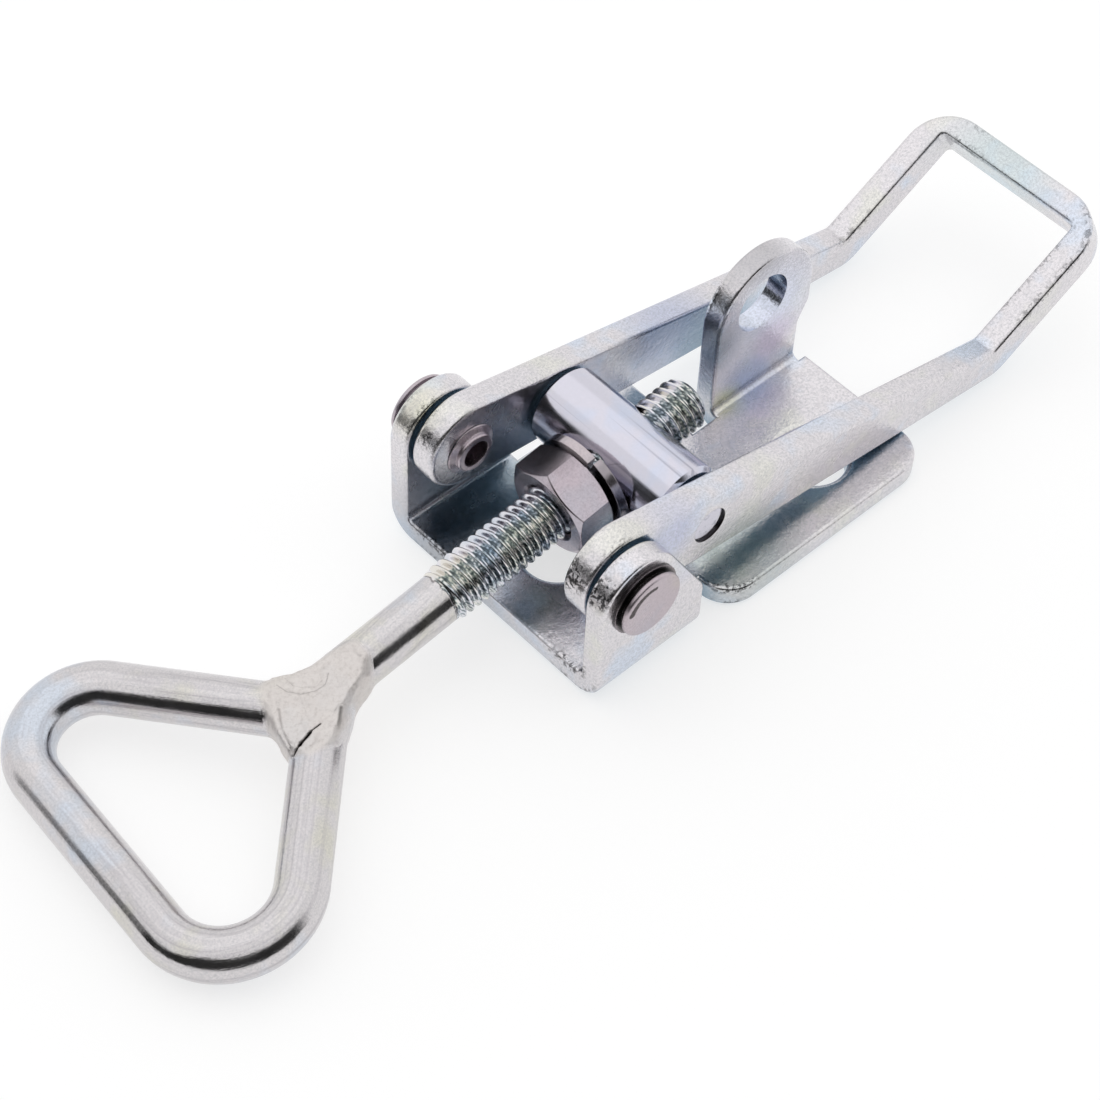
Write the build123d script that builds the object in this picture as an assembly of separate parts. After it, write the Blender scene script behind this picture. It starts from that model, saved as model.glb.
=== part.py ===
import os
from math import asin, cos, degrees, radians, sin, sqrt, tan

from build123d import *

# Over centre toggle latch in zinc plated steel, closed, lying on its base.
# X runs along the latch from the pivot to the grip, Y across it and Z up, from the
# underside of the base. The dimensions below count X from the pivot, and the finished
# parts are moved so that the front fixing hole is at the origin. Millimetres and degrees.

# Base plate, one folded sheet
sheet = 2.5  # steel thickness
bend_in = 0.7  # inside radius of every fold
ear_outer_y = 15.4  # outer face of each ear
ear_front_x = -5.4
ear_rear_x = 8.65
ear_top_r = 5.0  # rounded top of an ear
ear_top_x = -0.4
ear_top_z = 13.0
ear_slope = 60.0  # rear edge of an ear below the horizontal
spine_y = 11.6  # far edge of the floor between the ears and the eye
relief_x = 11.7  # rear end of the notch behind the near ear
relief_y = 12.0  # bottom of that notch
slot_front_x = 24.75  # slot in front of the padlock eye
wing_y = 16.0  # near edge of the rear plate
wing_front_r = 3.8
wing_rear_r = 4.0
rear_x = 41.6  # rear edge of the floor
mount_hole_r = 3.65
hole_roll = 0.9  # rolled-in upper edge of the two fixing holes
front_hole_x = 3.45
rear_hole_x = 31.9
rear_hole_y = -8.2
edge_round = 0.4  # sheared edges, softened by tumbling and plating

# Padlock eye, folded up from the base plate
eye_y = 2.92  # near face of the eye
eye_front_x = 28.1
eye_r = 6.9
eye_z = 13.9  # centre of its rounded top
eye_neck_x = 40.6  # rear end of its fold
eye_hole_r = 3.5
eye_hole_x = 34.33
eye_hole_z = 14.83

# Pivot
pivot_z = 12.6
pin_r = 2.3
pin_head_r = 3.67
near_head = 1.3  # height of the near rivet's head
far_head = 1.85
pin_rim = 0.5  # height of the head's rim, over a turned groove
pin_rim_round = 0.3
pin_neck_r = 3.2
pin_collar_r = 4.0  # thin flange under each head
pin_collar = 0.25
pin_tail = 0.95  # length of the hollow tail inside the lever
pin_tail_r = 2.25
pin_tail_round = 0.25
pin_bore_r = 1.55
pin_lip_r = 2.95  # swell at the tail's root that keeps the lever on
pin_lip = 0.4
run_gap = 0.05  # radial clearance of every running fit

# Lever, one strip bent to a U
strip = 3.0  # strip thickness
lever_outer_y = 12.41
lever_end_r = 5.1
lever_end_z = 13.0
upper_fall = 13.3  # slope of the upper edge towards the grip
lower_fall = 7.1  # slope of the lower edge
grip_bend_x = 55.1  # where the upper edge turns up
grip_rise = 28.6  # slope of the grip
grip_height = 4.35  # width of the strip round the grip
grip_length = 18.8
grip_corner_r = 5.25
grip_inner_r = 0.6  # the strip is bent nearly sharp inside its corners
heel_r = 4.0  # rounded heel under the bend
strip_round = 0.5  # rolled edges of the strip

# Trunnion barrel
barrel_x = 11.93
barrel_z = 11.08
barrel_r = 4.38
barrel_half = 9.0
barrel_bevel = 0.45
stub_r = 2.0
stub_end_y = 12.13  # the stubs end just inside the lever's outer faces

# Hook: rod, loop and weld. Distances along the rod are counted from the barrel's axis
# towards the loop, and distances across it towards +Y.
wire_r = 2.63
thread_r = 2.95  # over the thread crests
tail_s = -9.4
thread_end_s = 23.7
tail_bevel = 0.8
apex_s = 41.0  # where the centre lines of the loop's two legs meet
apex_l = -2.05
leg_angle = 48.65  # half the angle between the legs
leg_swing = 4.85  # turn of the legs out of line with the rod
bar_s = 65.3  # end bar on the rod's line
bar_swing = 3.76
far_corner_r = 6.2
near_corner_r = 7.1
weld_start_s = 35.0  # the rod's steel is melted from here on
weld_leg = 7.0  # length of each leg's melted end
weld_reach_l = 4.2
bead_half = 2.4  # half the height of the web, pressed flat while hot
bead_round = 1.2

# Nut and split spring washer on the rod
nut_across = 9.75
nut_height = 4.4
nut_front_s = 10.2
nut_face_r = 4.75  # flat left on each face inside the turned corners
washer_s = 4.4  # where the washer's lower end bears on the barrel
washer_thick = 1.0
washer_rise = 0.36  # how far its other end stands up
washer_r = 5.6
washer_bore_r = 3.1
washer_split = 4.0  # angle missing from its one coil
washer_turn = 108.0  # place of the split, from +Y upwards

bar_low_s = bar_s + (near_corner_r + 3.0) * tan(radians(bar_swing))
rod_tilt = degrees(asin((barrel_z - wire_r) / bar_low_s))
tilt_cos = cos(radians(rod_tilt))
tilt_sin = sin(radians(rod_tilt))
barrel_centre = Vector(barrel_x, 0, barrel_z)
rod_way = Vector(-tilt_cos, 0, -tilt_sin)
rod_axis = Axis(barrel_centre, rod_way)
hook_plane = Plane(barrel_centre, x_dir=rod_way, z_dir=(tilt_sin, 0, -tilt_cos))


def across_rod(s):
    """Plane square to the rod at distance s, its own x along +Y."""
    return Plane(barrel_centre + rod_way * s, x_dir=(0, 1, 0), z_dir=rod_way)


def cross_pin(x, z, radius, y_from, y_to):
    """Cylinder along Y."""
    middle = (y_from + y_to) / 2
    return Pos(x, middle, z) * Rot(90, 0, 0) * Cylinder(radius, abs(y_to - y_from))


def side_face(points):
    """Face in the XZ plane from (x, z) points."""
    return Plane.XZ * make_face(Polyline(*points, close=True))


def sheared_edges(body):
    """Edges at which two faces of the body meet at a real corner."""
    found = ShapeList()
    faces = body.faces()
    for edge in body.edges():
        middle = edge @ 0.5
        pair = [face.normal_at(middle) for face in faces
                if any(edge.is_same(other) for other in face.edges())]
        if abs(pair[0].dot(pair[1])) < 0.8:
            found.append(edge)
    return found


def base_plate():
    bend_out = bend_in + sheet
    wall = ear_top_z + ear_top_r

    # U section through the ears and L section through the eye
    outside = Pos(0, wall / 2) * Rectangle(2 * ear_outer_y, wall)
    outside = fillet(outside.vertices().group_by(Axis.Y)[0], bend_out)
    inside = Pos(0, sheet + wall / 2) * Rectangle(2 * (ear_outer_y - sheet), wall)
    inside = fillet(inside.vertices().group_by(Axis.Y)[0], bend_in)
    channel = extrude(Plane.YZ.offset(ear_front_x) * (outside - inside), ear_rear_x - ear_front_x)

    eye_top = eye_z + eye_r
    eye_far = eye_y + sheet
    angle = Polyline((eye_y - 4, 0), (eye_far, 0), (eye_far, eye_top), (eye_y, eye_top),
                     (eye_y, sheet), (eye_y - 4, sheet), close=True)
    angle = make_face(angle)
    corners = angle.vertices().sort_by_distance((eye_far, 0))
    angle = fillet(corners[0], bend_out)
    angle = fillet(angle.vertices().sort_by_distance((eye_y, sheet))[0], bend_in)
    eye_rear_x = eye_front_x + 2 * eye_r
    flange = extrude(Plane.YZ.offset(eye_front_x) * angle, eye_rear_x - eye_front_x)

    # Side outlines that trim the folded walls
    slope_x = ear_top_x + ear_top_r * sin(radians(ear_slope))
    slope_z = ear_top_z + ear_top_r * cos(radians(ear_slope))
    foot_z = slope_z - (ear_rear_x - slope_x) * tan(radians(ear_slope))
    ear_side = side_face([(ear_front_x, 0), (ear_rear_x, 0), (ear_rear_x, foot_z),
                          (slope_x, slope_z), (ear_top_x, ear_top_z), (ear_front_x, ear_top_z)])
    ear_side = ear_side + Plane.XZ * Pos(ear_top_x, ear_top_z) * Circle(ear_top_r)
    ears = channel & extrude(ear_side, ear_outer_y + 1, both=True)
    heels = ears.edges().filter_by(Axis.Y).filter_by_position(Axis.Z, foot_z - 0.1, foot_z + 0.1)
    ears = fillet(heels, 2.0)

    eye_mid_x = eye_front_x + eye_r
    eye_side = side_face([(eye_front_x, 0), (eye_neck_x, 0), (eye_neck_x, 7.8),
                          (eye_rear_x, 10.4), (eye_rear_x, eye_z), (eye_front_x, eye_z)])
    eye_side = eye_side + Plane.XZ * Pos(eye_mid_x, eye_z) * Circle(eye_r)
    eye = flange & extrude(eye_side, eye_far + 4, both=True)
    necks = eye.edges().filter_by(Axis.Y).filter_by_position(Axis.Z, 7, 11)
    eye = fillet(necks, 1.6)
    rims = sheared_edges(eye)
    inner_end = rims.filter_by_position(Axis.Y, eye_y - 4.1, eye_y - 3.9)
    eye = fillet([edge for edge in rims if edge not in inner_end], edge_round)

    # Flat blank between the folds
    blank = make_face(Polyline(
        (ear_front_x, -relief_y), (relief_x, -relief_y), (relief_x, -wing_y),
        (rear_x, -wing_y), (rear_x, eye_y - bend_in), (slot_front_x, eye_y - bend_in),
        (slot_front_x, spine_y), (ear_front_x, spine_y), close=True))
    blank = fillet(blank.vertices().sort_by_distance((relief_x, -wing_y))[0], wing_front_r)
    blank = fillet(blank.vertices().sort_by_distance((rear_x, -wing_y))[0], wing_rear_r)
    floor = extrude(blank, sheet)

    folded = floor + ears
    rims = [edge for edge in sheared_edges(folded) if edge.length > 1.2 * sheet
            or abs((edge @ 1).Z - (edge @ 0).Z) < 0.9 * sheet]
    plate = fillet(rims, edge_round) + eye
    for x, y in ((front_hole_x, 0), (rear_hole_x, rear_hole_y)):
        hole = Pos(x, y, sheet / 2) * Cylinder(mount_hole_r, sheet)
        plate -= hole
        rim = plate.edges().filter_by(GeomType.CIRCLE).filter_by_position(Axis.Z, sheet, sheet)
        plate = fillet(rim.sort_by_distance((x, y, sheet))[0], hole_roll)
    plate -= cross_pin(eye_hole_x, eye_hole_z, eye_hole_r, eye_y - 1, eye_far + 1)
    plate -= cross_pin(0, pivot_z, pin_r, -ear_outer_y - 1, ear_outer_y + 1)
    return plate


def lever():
    fall = radians(upper_fall)
    low = radians(lower_fall)
    rise = radians(grip_rise)
    along = (cos(rise), sin(rise))
    upper_start = (lever_end_r * sin(fall), lever_end_z + lever_end_r * cos(fall))
    lower_start = (-lever_end_r * sin(low), lever_end_z - lever_end_r * cos(low))
    top_bend = (grip_bend_x, upper_start[1] - (grip_bend_x - upper_start[0]) * tan(fall))
    end_top = (top_bend[0] + grip_length * along[0], top_bend[1] + grip_length * along[1])
    end_low = (end_top[0] + grip_height * along[1], end_top[1] - grip_height * along[0])
    # The heel is where the lower edge meets the grip's underside
    lower_at_end = lower_start[1] - (end_low[0] - lower_start[0]) * tan(low)
    heel_x = end_low[0] - (end_low[1] - lower_at_end) / (tan(rise) + tan(low))
    heel = (heel_x, lower_start[1] - (heel_x - lower_start[0]) * tan(low))

    outline = make_face(Polyline(upper_start, top_bend, end_top, end_low, heel, lower_start,
                                 (0, lever_end_z), close=True))
    outline = fillet(outline.vertices().sort_by_distance(heel)[0], heel_r)
    outline = fillet(outline.vertices().sort_by_distance(top_bend)[0], 1.0)
    outline = Plane.XZ * (outline + Pos(0, lever_end_z) * Circle(lever_end_r))
    body = extrude(outline, lever_outer_y, both=True)
    up = Axis((0, 0, 0), (-along[1], 0, along[0]))
    corners = body.edges().filter_by(up).sort_by(Axis.X)[-2:]
    body = fillet(corners, grip_corner_r)

    inner_end = Plane((end_top[0], 0, end_top[1]), x_dir=(along[0], 0, along[1]),
                      z_dir=(-along[1], 0, along[0]))
    space = Box(120, 2 * (lever_outer_y - strip), 140, align=(Align.MAX, Align.CENTER, Align.CENTER))
    space = fillet(space.edges().filter_by(Axis.Z).sort_by(Axis.X)[-2:], grip_inner_r)
    body -= inner_end * Pos(-strip, 0, 0) * space
    body = fillet(sheared_edges(body), strip_round)
    body -= cross_pin(0, pivot_z, pin_r + run_gap, -lever_outer_y - 1, lever_outer_y + 1)
    body -= cross_pin(barrel_x, barrel_z, stub_r + run_gap, -lever_outer_y - 1, lever_outer_y + 1)
    return body


def trunnion_barrel():
    body = cross_pin(barrel_x, barrel_z, barrel_r, -barrel_half, barrel_half)
    body = chamfer(body.edges().filter_by(GeomType.CIRCLE), barrel_bevel)
    body += cross_pin(barrel_x, barrel_z, stub_r, -stub_end_y, stub_end_y)
    body -= across_rod(-10) * Cylinder(thread_r + run_gap, 20 + 2 * barrel_r, align=(
        Align.CENTER, Align.CENTER, Align.MIN))
    return body


def loop_points():
    far = radians(leg_swing + leg_angle)
    near = radians(leg_swing - leg_angle)
    swing = tan(radians(bar_swing))
    points = []
    for angle in (far, near):
        # A leg's line from the apex meets the end bar's line
        reach = (bar_s - apex_s - apex_l * swing) / (cos(angle) + sin(angle) * swing)
        points.append((apex_s + reach * cos(angle), apex_l + reach * sin(angle)))
    return points


def catch_loop():
    far_corner, near_corner = loop_points()
    apex = Vector(apex_s, apex_l)
    bar_mid = (Vector(*far_corner) + Vector(*near_corner)) / 2
    halves = []
    for corner, radius, side in ((far_corner, far_corner_r, 1), (near_corner, near_corner_r, -1)):
        corner = Vector(*corner)
        start = apex + (apex - corner).normalized() * 4
        stop = bar_mid + (bar_mid - corner).normalized() * 4
        path = FilletPolyline(start, corner, stop, radius=radius)
        tube = sweep(Plane(origin=path @ 0, z_dir=path % 0) * Circle(wire_r), path=path)
        # Each half ends on the line from the apex to the middle of the end bar
        split_way = (bar_mid - apex).normalized()
        keep = Plane(apex, x_dir=split_way, z_dir=(0, 0, 1)) * Box(
            100, 60, 20, align=(Align.CENTER, Align.MIN if side > 0 else Align.MAX, Align.CENTER))
        halves.append(tube & keep)
    return hook_plane * (halves[0] + halves[1])


def threaded_rod():
    half = make_face(Polyline(
        (tail_s, 0), (tail_s, thread_r - tail_bevel), (tail_s + tail_bevel, thread_r),
        (thread_end_s, thread_r), (thread_end_s + 0.8, wire_r), (apex_s, wire_r),
        (apex_s, 0), close=True))
    return revolve(hook_plane * half, rod_axis)


def weld_zone():
    """Prism round the joint, its sides square to the rod and to both legs."""
    points = [(weld_start_s, -weld_reach_l), (weld_start_s, weld_reach_l)]
    for swing, side in ((leg_swing + leg_angle, 1), (leg_swing - leg_angle, -1)):
        way = Vector(cos(radians(swing)), sin(radians(swing)))
        out = Vector(-way.Y, way.X) * (weld_reach_l * side)
        end = Vector(apex_s, apex_l) + way * weld_leg
        points += [end + out * side, end - out * side]
    return extrude(hook_plane * make_face(Polyline(*points, close=True)), 2 * wire_r, both=True)


def weld_bead(wires, zone):
    rod_far = Spline((34.8, 1.6), (36.7, 2.7), (38.7, 3.25), (40.6, 4.15), (43.4, 5.6))
    rod_near = Spline((40.6, -5.3), (39.2, -4.2), (37.2, -3.6), (35.8, -3.2), (34.8, -1.8))
    crotch = ThreePointArc((46.9, 0.9), (46.2, -1.3), (46.4, -3.5))
    outline = make_face(rod_far + Line(rod_far @ 1, crotch @ 0) + crotch
                        + Line(crotch @ 1, rod_near @ 0) + rod_near
                        + Line(rod_near @ 1, rod_far @ 0))
    slab = extrude(hook_plane * outline, bead_half, both=True)
    rims = slab.faces().sort_by(Axis.Z)
    slab = fillet(rims[0].edges() + rims[-1].edges(), bead_round)
    return (wires & zone) + (slab & zone)


def hex_nut():
    corner_r = nut_across / sqrt(3)
    rear_s = nut_front_s - nut_height
    blank = extrude(across_rod(rear_s) * RegularPolygon(corner_r, 6, rotation=30), nut_height)
    # Turned corners: a 30 degree cone off each face
    drop = (corner_r - nut_face_r) * tan(radians(30))
    turned = make_face(Polyline(
        (rear_s, 0), (rear_s, nut_face_r), (rear_s + drop, corner_r),
        (nut_front_s - drop, corner_r), (nut_front_s, nut_face_r), (nut_front_s, 0), close=True))
    body = blank & revolve(hook_plane * turned, rod_axis)
    bore = thread_r + run_gap
    sink = 0.45
    cutter = make_face(Polyline(
        (rear_s, 0), (rear_s, bore + sink), (rear_s + sink, bore),
        (nut_front_s - sink, bore), (nut_front_s, bore + sink), (nut_front_s, 0), close=True))
    return body - revolve(hook_plane * cutter, rod_axis)


def spring_washer():
    # One left hand coil of flat wire, its two ends standing apart
    turns = 1 - washer_split / 360
    middle_r = (washer_r + washer_bore_r) / 2
    coil = Helix(washer_rise / turns, washer_rise, middle_r, lefthand=True)
    wire = Plane(coil @ 0, x_dir=(1, 0, 0), z_dir=coil % 0) * Rectangle(
        washer_r - washer_bore_r, washer_thick)
    body = sweep(wire, path=coil, is_frenet=True)
    seat = across_rod(washer_s + washer_thick / 2 + 0.02)
    return seat * Rot(0, 0, -washer_turn - washer_split / 2) * body


def pivot_rivet(side, head):
    arm_in = lever_outer_y - strip
    head_out = ear_outer_y + head
    lip_y = arm_in - run_gap
    tail_end = arm_in - pin_tail
    profile = make_face(Polyline(
        (0, head_out), (pin_head_r, head_out), (pin_head_r, head_out - pin_rim),
        (pin_neck_r, head_out - pin_rim), (pin_neck_r, ear_outer_y + pin_collar),
        (pin_collar_r, ear_outer_y + pin_collar), (pin_collar_r, ear_outer_y),
        (pin_r, ear_outer_y), (pin_r, lip_y), (pin_lip_r, lip_y),
        (pin_tail_r, lip_y - pin_lip), (pin_tail_r, tail_end), (pin_bore_r, tail_end),
        (pin_bore_r, tail_end + 3.5), (0, tail_end + 3.8), close=True))
    crown = profile.vertices().sort_by_distance((pin_head_r, head_out))[0]
    profile = fillet(crown, pin_rim_round)
    tail_edge = profile.vertices().sort_by_distance((pin_tail_r, tail_end))[0]
    profile = fillet(tail_edge, pin_tail_round)
    body = Pos(0, 0, pivot_z) * revolve(profile, Axis.Y)
    return body if side > 0 else mirror(body, Plane.XZ)


def build():
    zone = weld_zone()
    loop = catch_loop()
    rod = threaded_rod()
    parts = {
        "base_plate": base_plate(),
        "lever": lever(),
        "trunnion_barrel": trunnion_barrel(),
        "threaded_rod": rod - zone,
        "catch_loop": loop - zone,
        "weld_bead": weld_bead(rod + loop, zone),
        "hex_nut": hex_nut(),
        "spring_washer": spring_washer(),
        "far_pivot_rivet": pivot_rivet(1, far_head),
        "near_pivot_rivet": pivot_rivet(-1, near_head),
    }
    os.makedirs("parts", exist_ok=True)
    for name, solid in parts.items():
        export_step(Pos(-front_hole_x, 0, 0) * solid, f"parts/{name}.step")


build()
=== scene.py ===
from math import cos, pi, radians, sin, tan

import bmesh
import bpy
import numpy as np
from mathutils import Matrix, Vector, noise as patterns


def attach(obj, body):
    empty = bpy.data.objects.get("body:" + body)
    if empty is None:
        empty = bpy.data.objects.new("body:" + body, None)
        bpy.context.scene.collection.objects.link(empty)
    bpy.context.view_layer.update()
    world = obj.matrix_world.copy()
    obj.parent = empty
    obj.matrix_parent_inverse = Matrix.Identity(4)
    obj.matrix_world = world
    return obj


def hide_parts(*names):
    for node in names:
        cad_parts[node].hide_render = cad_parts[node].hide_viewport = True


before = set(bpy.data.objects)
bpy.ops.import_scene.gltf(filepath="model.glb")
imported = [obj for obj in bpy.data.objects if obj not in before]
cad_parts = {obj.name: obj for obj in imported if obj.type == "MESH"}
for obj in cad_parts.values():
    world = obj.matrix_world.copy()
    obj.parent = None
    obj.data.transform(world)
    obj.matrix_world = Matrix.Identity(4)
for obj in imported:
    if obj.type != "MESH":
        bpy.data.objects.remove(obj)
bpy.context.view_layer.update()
mm = 0.001


# One node with its settings, its socket values and its links
def addNode(tree, kind, settings=None, values=None, links=None):
    node = tree.nodes.new(kind)
    for name, value in (settings or {}).items():
        setattr(node, name, value)
    for socket, value in (values or {}).items():
        node.inputs[socket].default_value = value
    for socket, (source, output) in (links or {}).items():
        tree.links.new(source.outputs[output], node.inputs[socket])
    return node


def hexColour(code):  # sRGB hex to the linear colour that nodes take
    parts = [int(code[i:i + 2], 16) / 255 for i in (1, 3, 5)]
    return [c / 12.92 if c <= 0.04045 else ((c + 0.055) / 1.055) ** 2.4 for c in parts] + [1]


# The hook's own frame: s along the rod, l across it, n square to both. Lengths in mm and
# angles in degrees, as in the solids.
hook = {
    "pivotBehindOrigin": 3.45,
    "barrelX": 11.93,
    "barrelZ": 11.08,
    "tilt": 7.35985,  # the rod falls towards the loop
    "wireRadius": 2.63,
    "tailEnd": -9.4,
    "threadEnd": 23.7,
    "threadCrest": 2.95,
    "apex": (41.0, -2.05),  # where the centre lines of the two legs meet
    "legAngle": 48.65,
    "legSwing": 4.85,
    "barAt": 65.3,
    "barSwing": 3.76,  # the end bar isn't quite square to the rod
    "farCorner": 6.2,
    "nearCorner": 7.1,
}
rodWay = Vector((-cos(radians(hook["tilt"])), 0, -sin(radians(hook["tilt"]))))
hookUp = Vector((-sin(radians(hook["tilt"])), 0, cos(radians(hook["tilt"]))))
acrossWay = Vector((0, 1, 0))
barrelCentre = Vector((hook["barrelX"] - hook["pivotBehindOrigin"], 0, hook["barrelZ"]))
hookMatrix = Matrix((
    (rodWay.x, acrossWay.x, hookUp.x, barrelCentre.x),
    (rodWay.y, acrossWay.y, hookUp.y, barrelCentre.y),
    (rodWay.z, acrossWay.z, hookUp.z, barrelCentre.z),
    (0, 0, 0, 1)))  # (s, l, n) in mm to row millimetres; left handed, so faces are turned after it


def newMesh(name, points, faces):
    mesh = bpy.data.meshes.new(name)
    mesh.from_pydata([tuple(p) for p in points], [], faces)
    mesh.update()
    piece = bpy.data.objects.new(name, mesh)
    bpy.context.scene.collection.objects.link(piece)
    return piece


def shadeSmooth(mesh):
    mesh.polygons.foreach_set("use_smooth", [True] * len(mesh.polygons))


# Rolled thread on the rod, a grid wrapped round the axis by the rule of a helix. Sizes in mm.
thread = {
    "pitch": 1.0,
    "rootRadius": 2.36,
    "crestShare": 0.16,  # part of a pitch that is flat crest
    "rootShare": 0.18,
    "flankStraight": 0.55,  # the rest of a flank's height is rounded
    "tailBevel": 0.8,
    "pastEnd": 1.4,  # the grid goes on this far under the welded hook's skin
    "bare": 0.6,  # its last stretch, with no thread
    "runOut": 1.1,  # length over which the last turns die away
    "sink": 0.012,  # how far the bare stretch lies under the wire's own surface
    "around": 72,
    "alongStep": 0.0834,
    "seam": 1e-4,  # joins the grid's two edges
}


def threadTree():
    tree = bpy.data.node_groups.new("rolledThread", "GeometryNodeTree")
    face = tree.interface
    for name, kind in (("Length", "NodeSocketFloat"), ("Pitch", "NodeSocketFloat"),
                       ("Root Radius", "NodeSocketFloat"), ("Crest Radius", "NodeSocketFloat"),
                       ("Shank Radius", "NodeSocketFloat"), ("Tail Bevel", "NodeSocketFloat"),
                       ("Run Out", "NodeSocketFloat"), ("Crest Share", "NodeSocketFloat"),
                       ("Root Share", "NodeSocketFloat"), ("Around", "NodeSocketInt"),
                       ("Along", "NodeSocketInt"), ("Finish", "NodeSocketMaterial")):
        face.new_socket(name, in_out="INPUT", socket_type=kind)
    face.new_socket("Geometry", in_out="OUTPUT", socket_type="NodeSocketGeometry")
    given = tree.nodes.new("NodeGroupInput")

    def maths(operation, *parts, clamp=False):
        node = addNode(tree, "ShaderNodeMath", {"operation": operation, "use_clamp": clamp})
        for number, part in enumerate(parts):
            if isinstance(part, (int, float)):
                node.inputs[number].default_value = part
            else:
                tree.links.new(part, node.inputs[number])
        return node.outputs[0]

    grid = addNode(tree, "GeometryNodeMeshGrid", values={"Size X": 1.0, "Size Y": 1.0}, links={
        "Vertices X": (given, "Around"), "Vertices Y": (given, "Along")})
    place = addNode(tree, "GeometryNodeInputPosition")
    split = addNode(tree, "ShaderNodeSeparateXYZ", links={0: (place, 0)})
    turn = maths("ADD", split.outputs["X"], 0.5)
    along = maths("MULTIPLY", maths("ADD", split.outputs["Y"], 0.5), given.outputs["Length"])
    # Phase within one turn of a right hand helix: 0.5 on the crest, 0 and 1 in the root
    phase = maths("FRACT", maths("SUBTRACT", maths("DIVIDE", along, given.outputs["Pitch"]), turn))
    fromRoot = maths("SUBTRACT", 1.0, maths("MULTIPLY", 2.0, maths(
        "ABSOLUTE", maths("SUBTRACT", phase, 0.5))))
    rise = maths("SUBTRACT", fromRoot, given.outputs["Root Share"])
    span = maths("SUBTRACT", maths("SUBTRACT", 1.0, given.outputs["Crest Share"]),
                 given.outputs["Root Share"])
    flank = maths("DIVIDE", rise, span, clamp=True)
    rounded = addNode(tree, "ShaderNodeMapRange", {"interpolation_type": "SMOOTHSTEP"})
    tree.links.new(flank, rounded.inputs["Value"])
    height = maths("ADD", maths("MULTIPLY", flank, thread["flankStraight"]),
                   maths("MULTIPLY", rounded.outputs["Result"], 1 - thread["flankStraight"]))
    # The last turns die away into the shank
    toEnd = maths("SUBTRACT", given.outputs["Length"], along)
    fade = maths("DIVIDE", maths("SUBTRACT", toEnd, thread["bare"]), given.outputs["Run Out"],
                 clamp=True)
    deep = maths("SUBTRACT", given.outputs["Crest Radius"], given.outputs["Root Radius"])
    cut = maths("ADD", given.outputs["Root Radius"], maths("MULTIPLY", height, deep))
    blended = maths("ADD", maths("MULTIPLY", cut, fade), maths(
        "MULTIPLY", given.outputs["Shank Radius"], maths("SUBTRACT", 1.0, fade)))
    # The tail is chamfered, so no crest stands outside its cone
    cone = maths("ADD", maths("SUBTRACT", given.outputs["Crest Radius"],
                              given.outputs["Tail Bevel"]), along)
    radius = maths("MINIMUM", blended, cone)
    angle = maths("MULTIPLY", turn, 2 * pi)
    wrapped = addNode(tree, "ShaderNodeCombineXYZ")
    tree.links.new(along, wrapped.inputs["X"])
    tree.links.new(maths("MULTIPLY", radius, maths("COSINE", angle)), wrapped.inputs["Y"])
    downward = maths("MULTIPLY", maths("SINE", angle), -1.0)  # s, l and n are left handed
    tree.links.new(maths("MULTIPLY", radius, downward), wrapped.inputs["Z"])
    moved = addNode(tree, "GeometryNodeSetPosition", links={
        "Geometry": (grid, "Mesh"), "Position": (wrapped, 0)})
    noted = addNode(tree, "GeometryNodeStoreNamedAttribute",
                    {"data_type": "FLOAT", "domain": "POINT"}, {"Name": "threadHeight"},
                    {"Geometry": (moved, 0)})
    tree.links.new(maths("ADD", maths("MULTIPLY", height, fade), maths("SUBTRACT", 1.0, fade)),
                   noted.inputs["Value"])
    closed = addNode(tree, "GeometryNodeMergeByDistance", values={"Distance": thread["seam"]},
                     links={"Geometry": (noted, 0)})
    real = addNode(tree, "GeometryNodeRealizeInstances", links={"Geometry": (closed, 0)})
    dressed = addNode(tree, "GeometryNodeSetMaterial", links={
        "Geometry": (real, 0), "Material": (given, "Finish")})
    addNode(tree, "NodeGroupOutput", links={"Geometry": (dressed, 0)})
    return tree


def makeThread(finish):
    length = hook["threadEnd"] + thread["pastEnd"] - hook["tailEnd"]
    carrier = newMesh("rodThreadGrid", [(0, 0, 0)], [])
    change = carrier.modifiers.new("thread", "NODES")
    change.node_group = threadTree()
    sizes = {
        "Length": length, "Pitch": thread["pitch"], "Root Radius": thread["rootRadius"],
        "Crest Radius": hook["threadCrest"], "Shank Radius": hook["wireRadius"] - thread["sink"],
        "Tail Bevel": thread["tailBevel"], "Run Out": thread["runOut"],
        "Crest Share": thread["crestShare"], "Root Share": thread["rootShare"],
        "Around": thread["around"] + 1, "Along": int(length / thread["alongStep"]),
        "Finish": finish}
    for socket in change.node_group.interface.items_tree:
        if socket.in_out == "INPUT":
            change[socket.identifier] = sizes[socket.name]
    view = bpy.context.evaluated_depsgraph_get()
    made = bpy.data.meshes.new_from_object(
        carrier.evaluated_get(view), preserve_all_data_layers=True, depsgraph=view)
    bpy.data.objects.remove(carrier)
    piece = bpy.data.objects.new("rolled_thread", made)
    bpy.context.scene.collection.objects.link(piece)
    # Close both ends, then put the thread on the rod
    work = bmesh.new()
    work.from_mesh(made)
    bmesh.ops.holes_fill(work, edges=[e for e in work.edges if e.is_boundary], sides=0)
    for corner in work.verts:
        s, l, n = corner.co
        corner.co = (hookMatrix @ Vector((s + hook["tailEnd"], l, n))) * mm
    bmesh.ops.recalc_face_normals(work, faces=work.faces)
    work.to_mesh(made)
    work.free()
    shadeSmooth(made)
    return piece


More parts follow.
